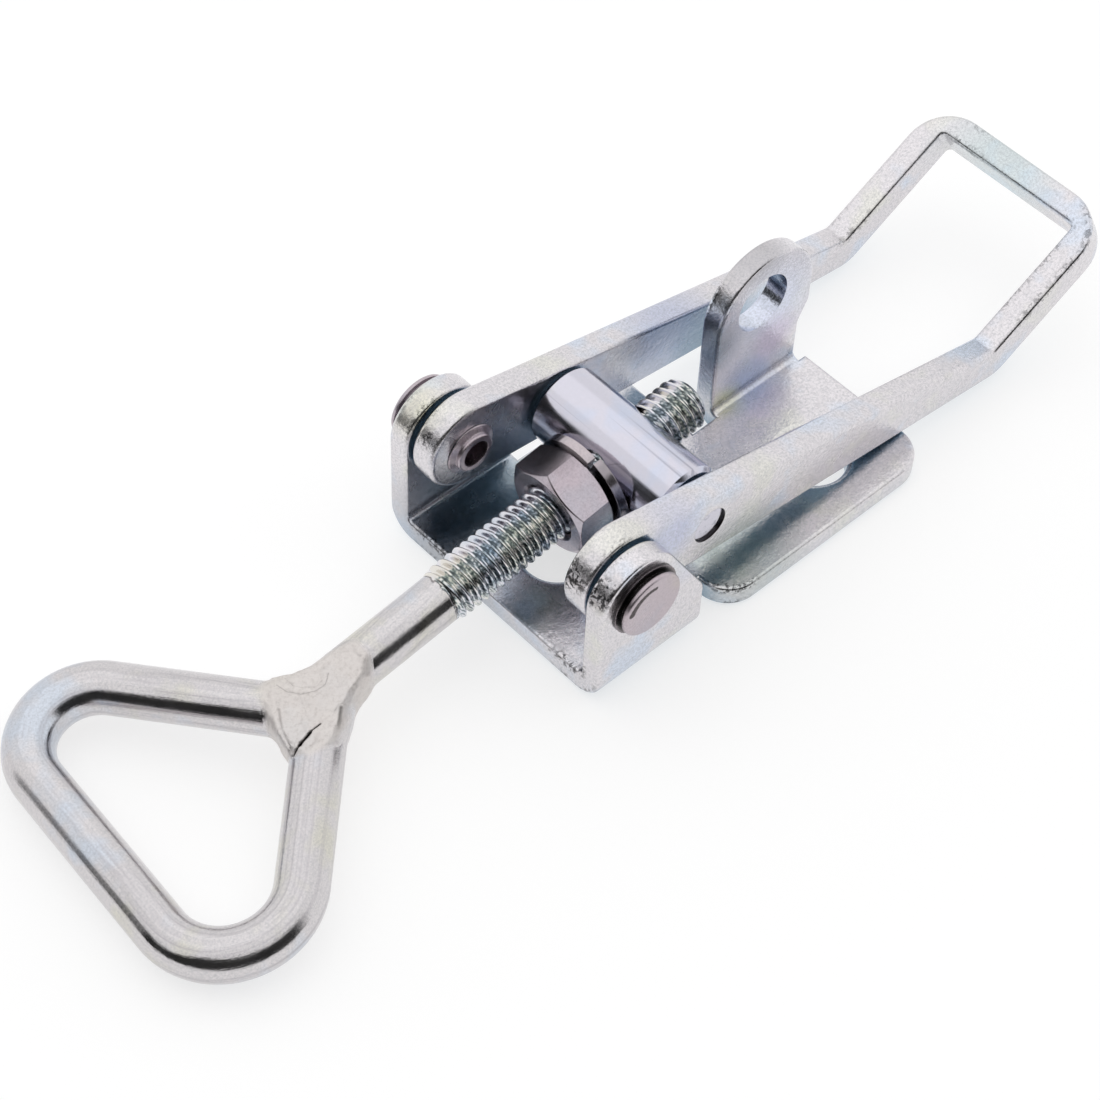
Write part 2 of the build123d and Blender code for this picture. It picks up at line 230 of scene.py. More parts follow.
# The welded hook: one skin over the shank, the loop and the joint between them. Sizes in mm.
weld = {
    "shankFrom": 24.2,  # hidden inside the thread's run out
    "shankTo": 41.5,
    "softness": 1.5,  # width over which the wires melt together
    "webSoftness": 0.9,  # and the web into them
    "slabHalf": 2.35,
    "slabSoftness": 0.5,
    "slabRound": 1.0,  # rounded edge of the pressed web
    "pressGap": 0.06,  # the press stops this far off the web
    "pressFade": 1.6,  # and lets go of the wires over this width past its edge
    "pressLift": 1.2,
    "voxel": 0.36,
    "meltReach": 8.5,  # how far from the apex the metal was soft
    "foldMargin": 0.45,  # finer faces this close to a fold line
    "lumpScale": 0.42,
    "lumpHeight": 0.16,
    "heatReach": 1.4,  # how far past the web's edge its skin is dull
    "fitSteps": 7,  # times that the coarse skin is drawn to the exact one
    "fitStride": 0.6,
    "lineDrift": 0.03,  # how little the drawing lines change along the wire
}
far = 1e3  # farther than anything on the hook, in mm

# Edge of the flat web pressed between the wires, in (s, l)
webOutline = [
    (34.6, 0.6), (35.4, 1.1), (36.7, 1.4), (38.7, 1.75), (40.6, 2.65), (42.2, 3.7),
    (43.3, 3.0), (44.2, 1.6), (45.4, -0.2), (46.0, -1.6), (46.2, -3.5), (45.0, -5.3),
    (42.6, -5.6), (40.9, -4.8), (39.2, -3.5), (37.2, -2.9), (35.6, -2.3), (34.6, -1.0)]
# Lines where the pressed metal folded over and stayed open: points (s, l), width, depth and
# how dark the fold is
foldLines = [
    ([(42.3, -3.8), (43.5, -3.8), (44.3, -3.95)], 0.07, 0.12, 0.9),
    ([(43.6, -3.84), (44.3, -3.97), (45.2, -4.1)], 0.15, 0.26, 1.0),
    ([(45.0, -4.05), (45.7, -4.2), (46.3, -4.3)], 0.11, 0.24, 0.9),
    ([(44.2, 0.2), (44.95, -0.95), (45.45, -2.05), (46.2, -4.2)], 0.16, 0.14, 0.35),
    ([(39.76, -3.76), (40.89, -4.95), (41.86, -6.14)], 0.36, 0.10, 0.6),
    ([(42.55, 2.4), (42.3, 1.05), (41.6, 0.0), (40.4, -0.65), (39.2, -0.8), (38.2, -0.1)],
     0.09, 0.05, 0.42),
    ([(41.5, 2.5), (41.5, 1.2), (41.05, 0.4), (40.1, -0.35), (39.2, -0.3)], 0.08, 0.04, 0.36),
    ([(41.9, -0.3), (42.15, -1.15), (42.6, -2.0)], 0.10, 0.04, 0.3),
    ([(38.9, -3.55), (39.75, -3.5), (40.85, -3.8)], 0.10, 0.05, 0.3),
]


def loopLines():
    # Centre line of the bent wire: two legs, two corner arcs and the end bar
    s0, l0 = hook["apex"]
    swing = tan(radians(hook["barSwing"]))
    corners = []
    for angle in (hook["legSwing"] + hook["legAngle"], hook["legSwing"] - hook["legAngle"]):
        angle = radians(angle)
        reach = (hook["barAt"] - s0 - l0 * swing) / (cos(angle) + sin(angle) * swing)
        corners.append(np.array((s0 + reach * cos(angle), l0 + reach * sin(angle))))
    apex = np.array((s0, l0))
    lines, arcs, touches = [], [], []
    for corner, other, radius in ((corners[0], corners[1], hook["farCorner"]),
                                  (corners[1], corners[0], hook["nearCorner"])):
        toApex = (apex - corner) / np.linalg.norm(apex - corner)
        toOther = (other - corner) / np.linalg.norm(other - corner)
        half = np.arccos(toApex @ toOther) / 2
        reach = radius / np.tan(half)
        middle = (toApex + toOther) / np.linalg.norm(toApex + toOther)
        centre = corner + middle * radius / np.sin(half)
        lines.append((apex, corner + toApex * reach))
        touches.append(corner + toOther * reach)
        arcs.append((centre, radius, -middle, pi / 2 - half))
    lines.append((touches[0], touches[1]))
    return lines, arcs


def lineDistance(points, start, end):
    way = end - start
    share = np.clip(((points - start) @ way) / (way @ way), 0, 1)
    return np.linalg.norm(points - start - share[:, None] * way, axis=1)


def arcDistance(points, centre, radius, middle, halfAngle):
    out = points - centre
    size = np.linalg.norm(out, axis=1) + 1e-9
    inside = (out @ middle) / size > np.cos(halfAngle + 0.02)
    return np.where(inside, np.abs(size - radius), far)


def softUnion(a, b, width):
    mix = np.clip(0.5 + 0.5 * (b - a) / width, 0, 1)
    return b * (1 - mix) + a * mix - width * mix * (1 - mix)


def webDistance(points):
    edge = np.array(webOutline)
    nearest = np.full(len(points), far)
    inside = np.zeros(len(points), bool)
    for start, end in zip(edge, np.roll(edge, -1, axis=0)):
        nearest = np.minimum(nearest, lineDistance(points, start, end))
        crosses = (start[1] > points[:, 1]) != (end[1] > points[:, 1])
        rise = end[1] - start[1] if end[1] != start[1] else 1e-9
        at = start[0] + (points[:, 1] - start[1]) * (end[0] - start[0]) / rise
        inside ^= crosses & (points[:, 0] < at)
    return np.where(inside, -nearest, nearest)


hookLines, hookArcs = loopLines()


def hookDistance(p):
    # Signed distance in mm from the skin of the hook, points as (s, l, n)
    flat, height = p[:, :2], p[:, 2]
    apex = np.array(hook["apex"])

    def tube(away):
        return np.sqrt(away ** 2 + height ** 2) - hook["wireRadius"]

    shank = tube(lineDistance(flat, np.array((weld["shankFrom"] - 3, 0.0)),
                              np.array((weld["shankTo"], 0.0))))
    farLeg = tube(lineDistance(flat, *hookLines[0]))
    nearLeg = tube(lineDistance(flat, *hookLines[1]))
    rest = tube(lineDistance(flat, *hookLines[2]))
    for arc in hookArcs:
        rest = np.minimum(rest, tube(arcDistance(flat, *arc)))
    reach = np.linalg.norm(flat - apex, axis=1)
    soft = weld["softness"] * np.clip(1.6 - reach / weld["meltReach"], 0.02, 1)
    wires = softUnion(softUnion(shank, farLeg, soft), nearLeg, soft)
    web = webDistance(flat)
    top = np.abs(height) - weld["slabHalf"]
    edge = weld["slabRound"]
    side = np.stack([np.maximum(web + edge, 0), np.maximum(top + edge, 0)], 1)
    slab = np.minimum(np.maximum(web, top) + edge, 0) + np.linalg.norm(side, axis=1) - edge
    joint = softUnion(wires, slab, weld["webSoftness"])
    body = np.minimum(joint, rest)
    # Pressed flat above and below within the web
    lift = np.clip((web + 0.5) / weld["pressFade"], 0, 1) * weld["pressLift"]
    press = weld["slabHalf"] + weld["pressGap"] + lift
    flatTop = np.abs(height) - press
    body = -softUnion(-body, -flatTop, weld["slabSoftness"])
    return np.maximum(body, weld["shankFrom"] - p[:, 0])


def slope(field, p, step=0.01):
    out = np.zeros_like(p)
    for axis in range(3):
        move = np.zeros(3)
        move[axis] = step
        out[:, axis] = (field(p + move) - field(p - move)) / (2 * step)
    return out / (np.linalg.norm(out, axis=1, keepdims=True) + 1e-9)


def makeWeldedHook():
    # Coarse skin from copies of the three solids, remeshed and then drawn onto the exact shape
    work = bmesh.new()
    for node in ("threaded_rod", "catch_loop", "weld_bead"):
        work.from_mesh(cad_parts[node].data)
    bmesh.ops.remove_doubles(work, verts=work.verts, dist=2e-6)
    mesh = bpy.data.meshes.new("welded_hook")
    work.to_mesh(mesh)
    work.free()
    piece = bpy.data.objects.new("welded_hook", mesh)
    bpy.context.scene.collection.objects.link(piece)
    melt = piece.modifiers.new("melt", "REMESH")
    melt.mode = "VOXEL"
    melt.voxel_size = weld["voxel"] * mm
    view = bpy.context.evaluated_depsgraph_get()
    skin = bpy.data.meshes.new_from_object(piece.evaluated_get(view), depsgraph=view)
    piece.modifiers.remove(melt)
    toHook = np.array(hookMatrix.inverted())
    work = bmesh.new()
    work.from_mesh(skin)
    away = [v for v in work.verts
            if (toHook @ np.array((*(v.co / mm), 1)))[0] < weld["shankFrom"] - 0.2]
    bmesh.ops.delete(work, geom=away, context="VERTS")
    bmesh.ops.holes_fill(work, edges=[e for e in work.edges if e.is_boundary], sides=0)
    # Finer faces at the joint, for its fold lines
    apex = hookMatrix @ Vector((*hook["apex"], 0))
    close = [e for e in work.edges
             if ((e.verts[0].co / mm) - apex).length < weld["meltReach"]]
    bmesh.ops.subdivide_edges(work, edges=close, cuts=2, use_grid_fill=True)
    close = np.array([v.co for v in work.verts]) / mm @ toHook[:3, :3].T + toHook[:3, 3]
    beside = np.full(len(close), far)
    for line, _, _, _ in foldLines:
        for start, end in zip(line, line[1:]):
            beside = np.minimum(beside, lineDistance(
                close[:, :2], np.array(start), np.array(end)))
    work.verts.index_update()
    fine = [e for e in work.edges if max(beside[v.index] for v in e.verts) < weld["foldMargin"]]
    bmesh.ops.subdivide_edges(work, edges=fine, cuts=1, use_grid_fill=True)
    bmesh.ops.triangulate(work, faces=[f for f in work.faces if len(f.verts) > 4])
    work.to_mesh(skin)
    work.free()
    count = len(skin.vertices)
    places = np.empty(count * 3)
    skin.vertices.foreach_get("co", places)
    places = places.reshape(-1, 3) / mm
    points = places @ toHook[:3, :3].T + toHook[:3, 3]
    for _ in range(weld["fitSteps"]):
        step = np.clip(hookDistance(points), -weld["fitStride"], weld["fitStride"])
        points -= step[:, None] * slope(hookDistance, points)
    normals = slope(hookDistance, points)
    # Lumps where the metal was hot
    heat = np.clip(0.75 - webDistance(points[:, :2]) / weld["heatReach"], 0, 1)
    for number in np.flatnonzero(heat > 0.02):
        lump = patterns.fractal(Vector(points[number]) * weld["lumpScale"], 0.7, 2.0, 3)
        points[number] -= normals[number] * heat[number] * weld["lumpHeight"] * lump
    # The folds are pressed in from above and below
    folds = np.zeros(count)
    for line, width, depth, dark in foldLines:
        away = np.full(count, far)
        for start, end in zip(line, line[1:]):
            away = np.minimum(away, lineDistance(points[:, :2], np.array(start), np.array(end)))
        dip = np.exp(-(away / width) ** 2) * np.clip((np.abs(normals[:, 2]) - 0.4) / 0.3, 0, 1)
        points -= normals * (dip * depth)[:, None]
        folds = np.maximum(folds, dip * dark)
    rows = np.array(hookMatrix)
    skin.vertices.foreach_set("co", ((points @ rows[:3, :3].T + rows[:3, 3]) * mm).ravel())
    skin.update()
    # Coordinates that hardly change along the wire, for its drawing lines
    flat = points[:, :2]
    off = [lineDistance(flat, *line) for line in hookLines]
    off += [arcDistance(flat, *arc) for arc in hookArcs]
    off.append(lineDistance(flat, np.array((weld["shankFrom"], 0.0)), np.array(hook["apex"])))
    least = np.min(off, axis=0)
    drawn = np.stack([least, points[:, 2],
                      (points[:, 0] + points[:, 1]) * weld["lineDrift"]], 1)
    lines = skin.attributes.new("wireLine", "FLOAT_VECTOR", "POINT")
    lines.data.foreach_set("vector", drawn.ravel())
    for label, share in (("weldHeat", heat), ("weldFold", folds)):
        note = skin.attributes.new(label, "FLOAT", "POINT")
        note.data.foreach_set("value", share)
    shadeSmooth(skin)
    work = bmesh.new()
    work.from_mesh(skin)
    bmesh.ops.recalc_face_normals(work, faces=work.faces)
    work.to_mesh(skin)
    work.free()
    piece.data = skin
    skin.name = "welded_hook"
    return piece


def newFinish(name):
    finish = bpy.data.materials.new(name)
    finish.use_nodes = True
    finish.node_tree.nodes.clear()
    return finish


def ramp(tree, stops, source, output=0):
    # A colour ramp with stops of (place, hex colour)
    node = addNode(tree, "ShaderNodeValToRGB", links={"Fac": (source, output)})
    points = node.color_ramp.elements
    while len(points) < len(stops):
        points.new(0.5)
    for point, (place, colour) in zip(points, stops):
        point.position = place
        point.color = hexColour(colour)
    return node


def grey(value):
    return (value, value, value, 1)


# Bright clear zinc plate over steel: a hard pale metal with a thin blue and yellow film, fine
# grain from the pickled sheet under it, and dark rubs where pieces knocked together in the
# plating barrel. Recesses get painted shade, a darker blue tint where other surfaces are near,
# where the real plate is also thinner and bluer.
zinc = {
    "warm": "#e2dee1", "cool": "#d8dfec", "yellow": "#e3e1dc", "deep": "#9b9ea3",
    "rubColour": "#1d1e21", "recessColour": "#7d9eb4",
    "roughness": (0.16, 0.30), "roughSize": 2.6, "edgeBevel": 0.0, "polish": [],
    "tintSize": 9.0, "grainSize": 0.26, "grain": 0.5, "grainOver": (0.60, 0.30),
    "rub": 0.9, "rubSize": 0.5, "rubOver": (0.506, 0.54), "edgeWidth": 1.0, "rubElsewhere": 0.15,
    "bump": 0.5, "bumpSize": 0.55, "recess": 0.95, "recessOver": (0.48, 0.13), "recessReach": 11.0,
    "rimOver": (0.92, 0.66), "markOver": (0.14, 0.46), "bumpDepth": 0.08,
    "core": 0.35,  # part of a spot's radius within which it is full
    "lines": 0.0, "heat": False, "thread": False, "stains": [], "rubPlaces": [],
    "arcs": [], "paintedDarkLineColour": "#221c1b", "dull": None, "gapDull": 0.0,
}
sheetFinish = dict(
    zinc,
    # Thicker and thinner spots of the film: place in mm, radius, colour and share
    stains=[
        ((30.3, 4.8, 21.5), 5.0, "#bdbabd", 0.9),
        ((32.0, 2.9, 13.0), 8.0, "#d3dbf0", 0.7), ((30.5, 2.9, 4.5), 5.0, "#aab8d8", 0.6),
        ((26.8, 2.9, 3.0), 2.6, "#cfcfa8", 0.5),
        ((33.2, 2.9, 8.2), 4.0, "#cdbbd6", 0.5), ((24.6, 4.2, 12.0), 4.5, "#5f7480", 0.6),
        ((24.0, 9.4, 9.5), 8.0, "#b4bedb", 0.6), ((66.0, 2.0, 12.0), 9.0, "#b2d0d0", 0.4),
        ((3.0, -12.4, 13.6), 5.0, "#c0c7e4", 0.7), ((-6.0, 14.5, 16.5), 4.0, "#dcd9b4", 0.4),
        ((-4.0, 8.0, 2.5), 11.0, "#3a5768", 0.5), ((14.0, -12.5, 2.5), 8.0, "#9fb0a6", 0.5)],
    # Where the knocks fell: place in mm, radius, share on faces and share on edges
    rubPlaces=[
        ((-7.5, -12.1, 16.2), 2.6, 0.0, 0.9), ((-7.6, -14.2, 16.2), 1.6, 0.5, 0.9),
        ((-4.4, -12.1, 18.1), 3.0, 0.0, 0.7),
        ((-8.0, -10.3, 15.0), 2.6, 0.5, 1.0), ((-8.0, -13.7, 15.4), 2.2, 0.6, 1.0),
        ((-6.6, 13.1, 16.8), 3.4, 0.0, 0.7), ((-7.8, 11.0, 15.8), 1.7, 0.4, 0.8),
        ((65.8, -10.3, 12.9), 3.6, 0.0, 0.9), ((62.0, -10.6, 10.9), 4.5, 0.0, 0.8),
        ((57.4, -11.3, 8.3), 4.5, 0.0, 0.8), ((65.8, 6.0, 12.9), 4.0, 0.0, 0.8),
        ((53.1, 9.7, 6.0), 4.0, 0.0, 0.7), ((10.0, -15.0, 2.4), 4.0, 0.05, 1.0),
        ((-8.8, 8.6, 2.2), 4.5, 0.1, 1.0), ((25.6, 5.3, 17.1), 3.0, 0.1, 1.0),
        ((-8.4, -11.5, 2.5), 4.5, 0.1, 1.0)],
    polish=[((31.85, 4.1, 14.0), 3.75)], polished=0.07,  # inside the eye, from the punch
    gapDull=0.8, gapOver=(0.20, 0.06),  # the bath hardly reached the narrow gaps
    # Painted shade in the gap round the barrel's stub in the near arm: dark arcs, with centre,
    # radius and half width in mm, then where on the circle and how far
    arcs=[((8.48, -12.3, 11.08), 2.08, 0.05, (9.6, -12.3, 9.6), 3.4),
          ((8.48, -12.41, 11.08), 2.03, 0.05, (8.48, -12.4, 11.08), 9.0)])
wireFinish = dict(  # drawn wire keeps its die polish, except where the weld made it soft
    zinc, warm="#d5d1d2", cool="#ccd2dc", yellow="#d5d2c8", roughness=(0.10, 0.19),
    grain=0.42, grainSize=0.22, rub=0.0, bump=0.26, bumpSize=0.32, recess=0.0, heat=True,
    lineScale=1.8, lineOver=(0.50, 0.70), lineShare=0.55, lineColour="#a5a1a6",
    grainHeight=0.6,
    # The weld left a dull skin with soft flow marks, fine pits and open folds
    hotColour="#dad4d0", hotShare=0.8, hotRoughness=0.38, foldColour="#2b2826",
    pitColour="#a8a19d", pitShare=0.35, pitSize=0.42, pitHeight=7.0, flowSize=2.4,
    flowHeight=12.0)
threadFinish = dict(
    wireFinish, heat=False, thread=True, grain=0.0, roughness=(0.17, 0.20), bump=0.02,
    # Crests burnished by the rolling dies, flanks filmed in faint turns of yellow and blue,
    # roots darkened as painted shade: colours from root to crest, and of the film over them
    depth=[(0.0, "#525b61"), (0.30, "#a7b0b4"), (0.70, "#dadde0"), (0.97, "#e6e3e6")],
    film=[(0.38, "#e6eef6"), (0.50, "#fbfcff"), (0.62, "#fbfaf0")], filmSize=4.0)
barrelFinish = dict(  # turned bar, its tool lines along the barrel from the burnishing roll
    zinc, warm="#d1cfda", cool="#c9cedf", yellow="#d0d0d4", roughness=(0.12, 0.19), grain=0.08,
    rub=0.0, bump=0.03, edgeBevel=0.1, recess=0.0, lines=0.6, lineSize=0.7, lineStretch=0.012,
    lineOver=(0.58, 0.66), lineColour="#8d8f9c")
nutFinish = dict(  # cold formed steel, a thinner plate with the pinkish cast of the base metal
    zinc, warm="#c6bac2", cool="#c0bac3", yellow="#c4bbba", deep="#8c858a", bump=0.12,
    # Painted shade, a dark grey, on faces that other parts come within 5 mm of
    roughness=(0.19, 0.27), edgeBevel=0.14, grain=0.35, rub=0.0, recess=0.6, recessColour="#45424a",
    recessOver=(0.50, 0.12), recessReach=5.0,
    # Painted shade on the two upper far flats and a painted highlight on the lower near flat
    stains=[((0.6, 3.2, 13.7), 4.6, "#3d3b3f", 0.8), ((4.4, 3.6, 13.3), 4.2, "#4a474b", 0.7),
            ((2.5, -4.9, 9.3), 3.2, "#f0f3f8", 0.9)],
    # Painted dark reflection line on the front edge of the upper near flat, where the turned corner
    # meets it
    arcs=[((6.92, -2.44, 15.14), 9.06, 0.09, (-2.1, -2.44, 13.97), 3.6)])
# Takes the nut's painted shade near other parts, here within 2 mm
rivetFinish = dict(nutFinish, warm="#bfb4ba", cool="#b9b2ba", yellow="#beb5b2",
                   roughness=(0.24, 0.34), recessReach=2.0, arcs=[])
nick = {  # left on the near rivet's head by the riveting tool
    "middle": (-3.45, -16.7, 12.6), "colour": "#2a1e1e", "share": 3.0, "spots": 10,
    "radius": 2.95, "radiusStep": 0.05, "angle": 162, "angleStep": 8.5,
    "size": 0.46, "sizeStep": 0.022,
}


def nickSpots():
    # A row of dark spots that run together, each smaller than the last
    x, y, z = nick["middle"]
    spots = []
    for step in range(nick["spots"]):
        radius = nick["radius"] - nick["radiusStep"] * step
        angle = radians(nick["angle"] - nick["angleStep"] * step)
        spots.append(((x + radius * cos(angle), y, z + radius * sin(angle)),
                      nick["size"] - nick["sizeStep"] * step, nick["colour"], nick["share"]))
    return spots


nickedFinish = dict(  # painted shade, near black, in the groove under the head
    rivetFinish, recess=1.0, recessColour="#1d1b19", recessOver=(0.88, 0.62), recessReach=1.2,
    stains=nickSpots())
washerFinish = dict(  # dull where the nut grinds on its raised end; a pale spot there is painted light
    nutFinish, warm="#a09a9f", cool="#9899a2", yellow="#a09b98", roughness=(0.12, 0.20),
    # Painted light: a pale spot that brightens the wedge shaded by the nut
    stains=[((2.3, 0.5, 15.7), 3.2, "#d8ccd0", 0.9)], recess=0.0, arcs=[],
    dull=((2.3, 0.5, 15.7), 2.8, 0.8))


def platedFinish(name, look):
    finish = newFinish(name)
    tree = finish.node_tree

    def noise(size, detail, rough, stretch=(1, 1, 1)):
        # Pattern of about the given size in mm, pulled out along an axis by a small stretch
        scaled = addNode(tree, "ShaderNodeMapping", values={
            "Scale": [1000 * part for part in stretch]}, links={"Vector": (place, "Object")})
        return addNode(tree, "ShaderNodeTexNoise", values={
            "Scale": 1 / size, "Detail": detail, "Roughness": rough},
            links={"Vector": (scaled, 0)})

    def spread(source, output, low, high, toLow=0.0, toHigh=1.0):
        return addNode(tree, "ShaderNodeMapRange", values={
            "From Min": low, "From Max": high, "To Min": toLow, "To Max": toHigh},
            links={"Value": (source, output)})

    def maths(operation, first, second):
        node = addNode(tree, "ShaderNodeMath", {"operation": operation}, links={0: (first, 0)})
        if isinstance(second, (int, float)):
            node.inputs[1].default_value = second
        else:
            tree.links.new(second.outputs[0], node.inputs[1])
        return node

    def cover(under, colour, share):
        # A colour laid over what lies under it, by a share from 0 to 1
        return addNode(tree, "ShaderNodeMix", {"data_type": "RGBA"}, {"B": hexColour(colour)},
                       {"Factor": (share, 0), "A": (under, "Result")})

    def around(spot, radius):
        # 1 round a spot given in mm, 0 from the radius outwards
        away = addNode(tree, "ShaderNodeVectorMath", {"operation": "DISTANCE"},
                       {1: [part * mm for part in spot]}, {0: (place, "Object")})
        return spread(away, "Value", radius * mm, look["core"] * radius * mm)

    place = addNode(tree, "ShaderNodeTexCoord")
    if look["thread"]:
        known = addNode(tree, "ShaderNodeAttribute", {"attribute_name": "threadHeight"})
        # Darker towards the thread's root: painted shade in its grooves
        depth = ramp(tree, look["depth"], known, "Fac")
        film = ramp(tree, look["film"], noise(look["filmSize"], 1.0, 0.5))
        colour = addNode(tree, "ShaderNodeMix", {"data_type": "RGBA", "blend_type": "MULTIPLY"},
                         {"Factor": 1.0}, {"A": (depth, "Color"), "B": (film, "Color")})
    else:
        tint = ramp(tree, [(0.36, look["cool"]), (0.47, look["warm"]), (0.56, look["warm"]),
                           (0.66, look["yellow"])], noise(look["tintSize"], 3.0, 0.6))
        colour = addNode(tree, "ShaderNodeMix", {"data_type": "RGBA"}, {"Factor": 0.0},
                         {"A": (tint, "Color")})
    # Spots of colour: film spots and a tool mark, and painted shade and painted light on the nut
    # and washer
    for spot, radius, stain, share in look["stains"]:
        colour = cover(colour, stain, maths("MULTIPLY", around(spot, radius), share))
    grain = noise(look["grainSize"], 4.0, 0.7)
    colour = cover(colour, look["deep"],
                   maths("MULTIPLY", spread(grain, 0, *look["grainOver"]), look["grain"]))
    rough = spread(noise(look["roughSize"], 4.0, 0.55), 0, 0.35, 0.65, *look["roughness"])
    for spot, radius in look["polish"]:
        rough = addNode(tree, "ShaderNodeMix", {"data_type": "FLOAT"}, {"B": look["polished"]}, {
            "Factor": (spread(around(spot, radius), 0, 0, 0.05), 0), "A": (rough, 0)})
    if look["lines"]:
        lines = spread(noise(look["lineSize"], 2.0, 0.5, (1, look["lineStretch"], 1)), 0,
                       *look["lineOver"])
        colour = cover(colour, look["lineColour"], maths("MULTIPLY", lines, look["lines"]))
    if look["recess"]:
        # Painted shade: the colour goes towards a darker tint where ambient occlusion finds other
        # surfaces near
        clear = addNode(tree, "ShaderNodeAmbientOcclusion", {"samples": 6},
                        {"Distance": look["recessReach"] * mm})
        shut = spread(clear, "AO", *look["recessOver"])
        colour = cover(colour, look["recessColour"], maths("MULTIPLY", shut, look["recess"]))
    if look["rub"]:
        # Rays sent into the metal come out again soon only near an outer edge
        edge = addNode(tree, "ShaderNodeAmbientOcclusion",
                       {"samples": 6, "inside": True, "only_local": True},
                       {"Distance": look["edgeWidth"] * mm})
        rim = spread(edge, "AO", *look["rimOver"])
        marks = maths("MULTIPLY", rim, look["rubElsewhere"])
        for spot, radius, onFace, onEdge in look["rubPlaces"]:
            here = maths("MULTIPLY", around(spot, radius), spread(rim, 0, 0, 1, onFace, onEdge))
            marks = maths("MAXIMUM", marks, here)
        torn = spread(noise(look["rubSize"], 4.0, 0.62), 0, *look["rubOver"])
        marks = spread(maths("MULTIPLY", marks, torn), 0, *look["markOver"], 0.0, look["rub"])
        colour = cover(colour, look["rubColour"], marks)
    # Painted shade and painted reflection: thin dark arcs along a gap and along an edge
    for centre, radius, half, spot, reach in look["arcs"]:
        out = addNode(tree, "ShaderNodeVectorMath", {"operation": "DISTANCE"},
                      {1: [part * mm for part in centre]}, {0: (place, "Object")})
        inner = spread(out, "Value", (radius - half) * mm, (radius - 0.4 * half) * mm)
        outer = spread(out, "Value", (radius + half) * mm, (radius + 0.4 * half) * mm)
        arc = maths("MULTIPLY", maths("MULTIPLY", inner, outer), around(spot, reach))
        colour = cover(colour, look["paintedDarkLineColour"], arc)
    height = noise(look["bumpSize"], 4.0, 0.65)
    if look["heat"]:
        # Drawing lines along the wire
        drawn = addNode(tree, "ShaderNodeAttribute", {"attribute_name": "wireLine"})
        streak = addNode(tree, "ShaderNodeTexNoise", values={
            "Scale": look["lineScale"], "Detail": 4.0, "Roughness": 0.65, "Distortion": 0.25},
            links={"Vector": (drawn, "Vector")})
        colour = cover(colour, look["lineColour"],
                       spread(streak, 0, *look["lineOver"], 0.0, look["lineShare"]))
        height = maths("ADD", maths("MULTIPLY", height, look["grainHeight"]), streak)
        heat = addNode(tree, "ShaderNodeAttribute", {"attribute_name": "weldHeat"})
        hot = spread(heat, "Fac", 0.15, 0.55)
        rough = addNode(tree, "ShaderNodeMix", {"data_type": "FLOAT"}, {
            "B": look["hotRoughness"]}, {"Factor": (hot, 0), "A": (rough, 0)})
        pits = noise(look["pitSize"], 5.0, 0.75)
        flow = noise(look["flowSize"], 2.0, 0.5, (1, 1.6, 1))
        height = maths("ADD", height, maths("MULTIPLY", hot, maths(
            "ADD", maths("MULTIPLY", flow, look["flowHeight"]),
            maths("MULTIPLY", pits, look["pitHeight"]))))
        colour = cover(colour, look["hotColour"], maths("MULTIPLY", hot, look["hotShare"]))
        pitted = maths("MULTIPLY", hot, spread(pits, 0, 0.52, 0.34))
        colour = cover(colour, look["pitColour"], maths("MULTIPLY", pitted, look["pitShare"]))
        fold = addNode(tree, "ShaderNodeAttribute", {"attribute_name": "weldFold"})
        colour = cover(colour, look["foldColour"], spread(fold, "Fac", 0.25, 0.75))
    dents = addNode(tree, "ShaderNodeBump", values={
        "Strength": look["bump"], "Distance": look["bumpDepth"] * mm},
        links={"Height": (height, 0)})
    if look["edgeBevel"]:
        worn = addNode(tree, "ShaderNodeBevel", {"samples": 6}, {"Radius": look["edgeBevel"] * mm})
        tree.links.new(worn.outputs[0], dents.inputs["Normal"])
    surface = addNode(tree, "ShaderNodeBsdfPrincipled", values={"Metallic": 1.0}, links={
        "Base Color": (colour, "Result"), "Roughness": (rough, 0), "Normal": (dents, 0)})
    if look["gapDull"]:
        gap = spread(clear, "AO", *look["gapOver"], 1.0, 1.0 - look["gapDull"])
        tree.links.new(gap.outputs[0], surface.inputs["Metallic"])
    if look["dull"]:
        spot, radius, share = look["dull"]
        bare = spread(around(spot, radius), 0, 0, 1, 1.0, 1.0 - share)
        tree.links.new(bare.outputs[0], surface.inputs["Metallic"])
    addNode(tree, "ShaderNodeOutputMaterial", links={"Surface": (surface, 0)})
    return finish


platedSheet = platedFinish("clearZincOnPressedSheet", sheetFinish)
platedWire = platedFinish("clearZincOnDrawnWire", wireFinish)
platedThread = platedFinish("clearZincOnRolledThread", threadFinish)
platedNut = platedFinish("zincPlatedNutSteel", nutFinish)
platedRivet = platedFinish("zincPlatedRivetSteel", rivetFinish)
nickedRivet = platedFinish("zincPlatedNickedRivetSteel", nickedFinish)
platedWasher = platedFinish("zincPlatedSpringSteel", washerFinish)
platedBarrel = platedFinish("clearZincOnTurnedBarrel", barrelFinish)


def dressNode(name, finish):
    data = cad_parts[name].data
    if data.materials:
        for number in range(len(data.materials)):
            data.materials[number] = finish
    else:
        data.materials.append(finish)


for node, finish in (("base_plate", platedSheet), ("lever", platedSheet),
                     ("trunnion_barrel", platedBarrel), ("threaded_rod", platedWire),
                     ("catch_loop", platedWire), ("weld_bead", platedWire),
                     ("hex_nut", platedNut), ("spring_washer", platedWasher),
                     ("far_pivot_rivet", platedRivet), ("near_pivot_rivet", nickedRivet)):
    dressNode(node, finish)
print("finishes on the solids")

rolledThread = makeThread(platedThread)
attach(rolledThread, "hook")
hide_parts("threaded_rod")
print("rolled thread", len(rolledThread.data.polygons), "faces")

weldedHook = makeWeldedHook()
weldedHook.data.materials.clear()
weldedHook.data.materials.append(platedWire)
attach(weldedHook, "hook")
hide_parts("threaded_rod", "catch_loop", "weld_bead")
print("welded hook", len(weldedHook.data.polygons), "faces")

